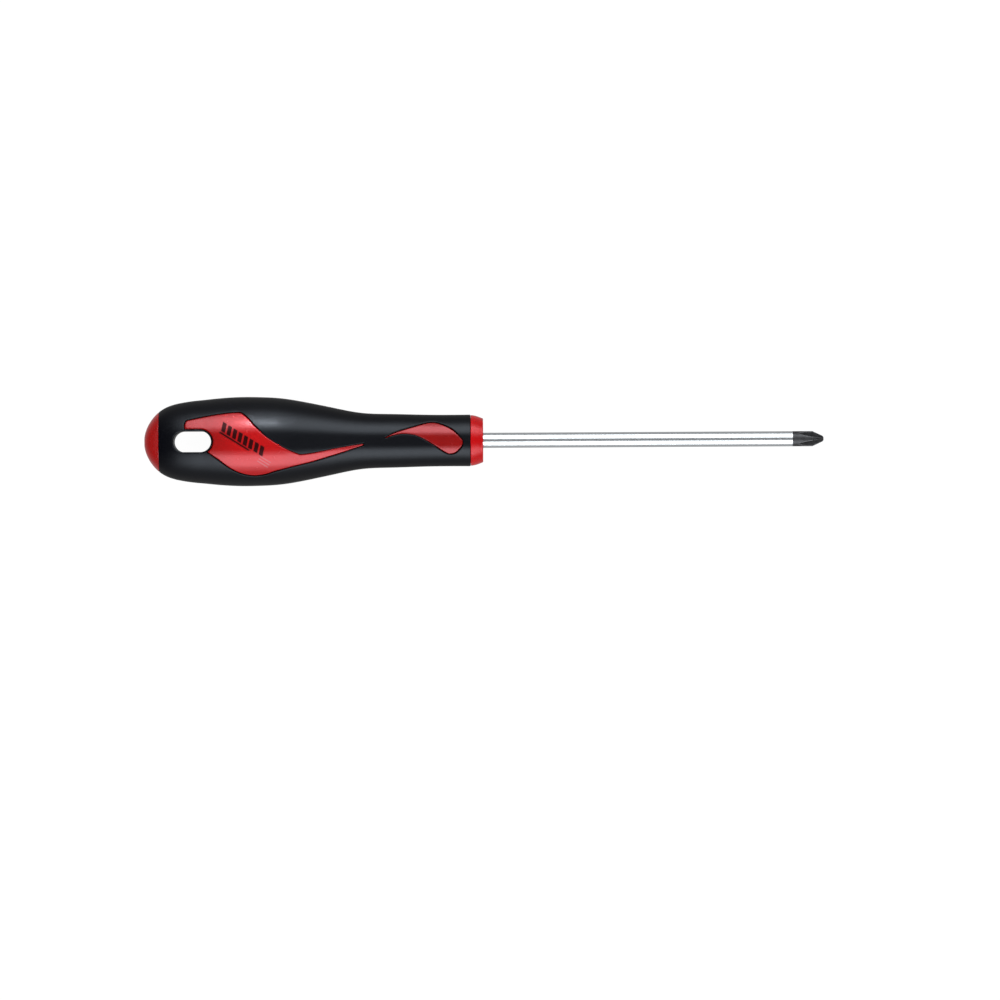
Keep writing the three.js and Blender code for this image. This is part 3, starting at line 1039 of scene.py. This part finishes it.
def print_marks(paint, place):
    """The dark bars and rule, and the pale lines, on the top and turned half a turn on the underside."""
    x, y = place["X"], paint.times(place["Y"], paint.math("SIGN", place["Z"]))

    along, beside = print_place(paint, x, y, BARS["start"])
    slanted = paint.math("MULTIPLY_ADD", beside, BARS["slant"], along)
    share = paint.math("FRACT", paint.math("DIVIDE", slanted, BARS["pitch"]))
    dark = paint.within(share, *BARS["filled"], soft=0.06)
    dark = paint.times(dark, paint.within(beside, *BARS["beside"], soft=0.12))
    dark = paint.times(dark, paint.within(slanted, 0, BARS["count"] * BARS["pitch"], soft=0.05))
    rule = paint.within(along, *RULE["along"], soft=0.3)
    rule = paint.times(rule, paint.within(beside, *RULE["beside"], soft=0.12))

    along, beside = print_place(paint, x, y, LINES["start"])
    share = paint.math("FRACT", paint.math("DIVIDE", beside, LINES["pitch"]))
    pale = paint.within(share, *LINES["filled"], soft=0.12)
    pale = paint.times(pale, paint.within(along, *LINES["along"], soft=0.15))
    pale = paint.times(pale, paint.within(beside, 0, LINES["count"] * LINES["pitch"], soft=0.02))
    return paint.math("MAXIMUM", dark, rule), pale


def red_plastic():
    """Glossy plastic with a faint orange peel, and painted light: a brighter red on the collar and the
    flame's front.
    """
    paint = Paint("red_plastic")
    place = paint.axes()
    on_collar = paint.span(place["X"], 0, 1, (REAR + GRIP_END) * MM, (REAR + COLLAR_START) * MM)
    full_from, full_to = ((REAR + station) * MM for station in PAINTED_LIGHT_STATIONS)
    on_flame = paint.within(place["X"], full_from, full_to, soft=4 * MM)
    # Painted light: a brighter red over the collar and, at a share, over the flame's front
    painted_light = paint.math("MAXIMUM", on_collar, paint.times(on_flame, PAINTED_LIGHT_SHARE))
    worn = paint.worn_edges(low=0.54, high=0.6)
    dark, pale = print_marks(paint, place)

    colour = paint.mottled(paint.noise(90, detail=4), RED_DARK, RED_LIGHT)
    colour = paint.blend(painted_light, colour, linear(*RED_PAINTED_LIGHT))
    colour = paint.cover(colour, worn, RED_WORN, share=0.3)
    colour = paint.cover(colour, dark, INK, share=0.96)
    colour = paint.cover(colour, pale, PALE_INK, share=0.45)

    rough = paint.varied(paint.noise(700), 0.2, 0.28)
    rough = paint.math("ADD", rough, paint.times(dark, 0.12))
    rough = paint.math("ADD", rough, paint.times(worn, 0.3))
    dull = paint.math("MAXIMUM", dark, paint.times(on_collar, 0.5))
    shine = paint.span(dull, RED_SPECULAR, 0.25 * RED_SPECULAR)
    peel = paint.bump(paint.noise(1400, detail=2), depth=6e-6)
    paint.set(Base_Color=colour, Roughness=rough, Normal=peel)
    paint.set(Specular_IOR_Level=shine, Specular_Tint=RED_TINT, IOR=RED_IOR)
    return paint.material


def black_rubber():
    """Soft satin rubber with a fine moulded grain, duller where it is seen edge on."""
    paint = Paint("black_rubber")
    colour = paint.mottled(paint.noise(60, detail=4), RUBBER_DARK, RUBBER_LIGHT)
    colour = paint.cover(colour, paint.worn_edges(low=0.53, high=0.6), RUBBER_WORN, share=0.25)
    grain = paint.noise(3200, roughness=0.6)
    facing = paint.node("ShaderNodeLayerWeight", {"Blend": 0.5}).outputs["Facing"]
    shine = paint.span(facing, low=0.28, high=0.05, from_low=0.25, from_high=0.7)
    paint.set(Base_Color=colour, Roughness=paint.varied(grain, 0.3, 0.4))
    paint.set(Normal=paint.bump(grain, depth=8e-6), Specular_IOR_Level=shine, Specular_Tint=RUBBER_TINT)
    return paint.material


def chrome():
    """Bright plating with faint streaks along the rod."""
    paint = Paint("bright_chrome")
    streak = paint.noise(1, detail=4, vector=paint.stretched((40, 2600, 2600)))
    paint.set(Base_Color=paint.mottled(streak, CHROME_DARK, CHROME_LIGHT), Metallic=1.0)
    paint.set(Roughness=paint.varied(streak, 0.25, 0.27), Normal=paint.bump(streak, depth=1e-7))
    return paint.material


def black_oxide():
    """The blackened steel of the tip, rubbed bare along its edges."""
    paint = Paint("black_oxide")
    mottle = paint.noise(900, detail=4)
    colour = paint.mottled(mottle, OXIDE_DARK, OXIDE_LIGHT)
    colour = paint.cover(colour, paint.worn_edges(low=0.51, high=0.56), OXIDE_WORN, share=0.6)
    grain = paint.bump(paint.noise(2600), depth=1e-5)
    paint.set(Base_Color=colour, Metallic=0.7, Roughness=paint.varied(mottle, 0.4, 0.52), Normal=grain)
    return paint.material


def core_plastic():
    """The pale, matt plastic of the hidden inner moulding."""
    paint = Paint("core_plastic")
    cloud = paint.noise(120, detail=4)
    colour = paint.mottled(cloud, CORE_DARK, CORE_LIGHT)
    grain = paint.bump(paint.noise(2000), depth=2e-5)
    paint.set(Base_Color=colour, Roughness=paint.span(cloud, 0.5, 0.65), Normal=grain)
    return paint.material


# ---------------- pieces

def put(piece, node, material):
    """Gives a piece its material and its place in the assembly."""
    piece.data.materials.append(material)
    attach(piece, "root")
    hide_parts(node)
    return piece


red = red_plastic()
put(make_grip(), "soft_grip", black_rubber())
put(make_body(), "body", red)
put(make_cap(), "end_cap", red)
blade = put(make_blade(), "blade", chrome())
blade.data.materials.append(black_oxide())
black_from = (REAR + OVERALL_LENGTH - BLACK_LENGTH) * MM
for face in blade.data.polygons:
    face.material_index = int(face.center.x > black_from)
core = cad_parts["core"]
core.data.materials.clear()
core.data.materials.append(core_plastic())


# ---------------- floor, light and camera

def pale_floor():
    """A pale surface that is evenly bright."""
    paint = Paint("pale_floor")
    paint.set(Base_Color=(0.05, 0.05, 0.05), Emission_Color=(1, 1, 1), Emission_Strength=0.97)
    paint.set(Roughness=1.0, Specular_IOR_Level=0.0)
    return paint.material


# Floor, in metres
FLOOR_LEVEL = CAD_BOX[0].z
FLOOR_MIDDLE = 0.4
FLOOR_REACH = 2.2
WALL_BEND = 0.8
WALL_HEIGHT = 2.5
WALL_STEP = 15  # degrees between the rings of the bend
FLOOR_STEP = 7.5  # degrees between the points of a ring


def make_floor():
    """A round pale floor whose rim curves up into a wall."""
    outline = [(FLOOR_MIDDLE, 0), (FLOOR_REACH, 0)]
    for turn in np.radians(np.arange(WALL_STEP, 91, WALL_STEP)):
        outline.append((FLOOR_REACH + WALL_BEND * math.sin(turn), WALL_BEND * (1 - math.cos(turn))))
    outline.append((FLOOR_REACH + WALL_BEND, WALL_HEIGHT))
    angles = np.radians(np.arange(0, 360, FLOOR_STEP))
    shell = Shell()
    rings = [
        shell.add([(radius * math.cos(a), radius * math.sin(a), FLOOR_LEVEL + rise) for a in angles])
        for radius, rise in outline
    ]
    shell.faces.append(tuple(rings[0]))
    for low, high in zip(rings, rings[1:]):
        shell.strip(low, high, closed=True)
    mesh = bpy.data.meshes.new("floor")
    mesh.from_pydata(shell.points, [], shell.faces)
    floor = add_object("floor", mesh)
    floor.data.materials.append(pale_floor())
    floor.visible_glossy = False
    floor.visible_diffuse = False
    floor.visible_shadow = False


make_floor()


# Lights, in metres
LIGHT_COLOUR = (0.95, 0.985, 1.0)
KICKER_TARGET = Vector((-0.0668, -0.0016, 0.0019))  # near the axis, inside the handle's widest part


def soft_box(name, radiance, centre, turn_degrees, distance, length, width):
    """A soft light that faces the axis at an x, turned about it from straight above towards +Y."""
    light = bpy.data.lights.new(name, "AREA")
    light.shape = "RECTANGLE"
    light.size, light.size_y = length, width
    light.energy = radiance * length * width * math.pi
    light.color = LIGHT_COLOUR
    thing = add_object(name, light)
    turn = math.radians(turn_degrees)
    thing.location = (centre, distance * math.sin(turn), distance * math.cos(turn))
    thing.rotation_euler = (-turn, 0, 0)
    thing.visible_camera = False
    return thing


for side in (1, -1):
    soft_box(f"wide_{side}", radiance=1.2, centre=0.12, turn_degrees=side * 51, distance=0.62,
             length=0.84, width=0.75)
    soft_box(f"core_{side}", radiance=3.0, centre=0.12, turn_degrees=side * 52, distance=0.6,
             length=0.8, width=0.36)
kicker = soft_box("kicker", radiance=0.45, centre=-0.056, turn_degrees=49, distance=0.13,
                  length=0.014, width=0.04)
kicker.data.spread = math.radians(8)
kicker.rotation_euler = (KICKER_TARGET - kicker.location).to_track_quat("-Z", "Y").to_euler()
fill = soft_box("fill", radiance=5.0, centre=-0.55, turn_degrees=0, distance=0.1, length=0.3, width=0.8)
fill.rotation_euler = (0, math.radians(-78), 0)
fill.visible_glossy = False


def make_sky(above, left, right, below, behind):
    """The dim studio round the lights, as a soft gradient."""
    world = bpy.data.worlds.new("world")
    bpy.context.scene.world = world
    sky = NodeTree(world, "Generated")
    x, y, z = sky.axes()
    sides = sky.span(y, low=right, high=left, from_low=-0.8, from_high=0.8)
    upper = sky.span(z, low=sides, high=above, from_low=0.1, from_high=0.6)
    whole = sky.span(z, low=below, high=upper, from_low=-0.75, from_high=-0.5)
    whole = sky.span(x, low=behind, high=whole, from_low=-0.9, from_high=-0.4)
    background = sky.nodes["Background"].inputs
    sky.give(background["Strength"], whole)
    sky.give(background["Color"], (1, 1, 1))


make_sky(above=0.16, left=0.3, right=0.36, below=0.4, behind=0.05)

view = bpy.context.scene.view_settings
view.view_transform = "Standard"
view.look = "None"

LENS = 400
SENSOR = 36
CLIP_END = 20
FRAME_WIDTH = 293.8  # width of the view at the tool's axis
AIM_STATION = 104.46
AIM_ACROSS = -17.55
ROLL = math.radians(-0.3)

camera = add_object("camera", bpy.data.cameras.new("camera"))
bpy.context.scene.camera = camera
camera.data.lens = LENS
camera.data.sensor_width = SENSOR
camera.data.clip_end = CLIP_END
camera.location = ((REAR + AIM_STATION) * MM, AIM_ACROSS * MM, FRAME_WIDTH * LENS / SENSOR * MM)
camera.rotation_euler = (0, 0, ROLL)
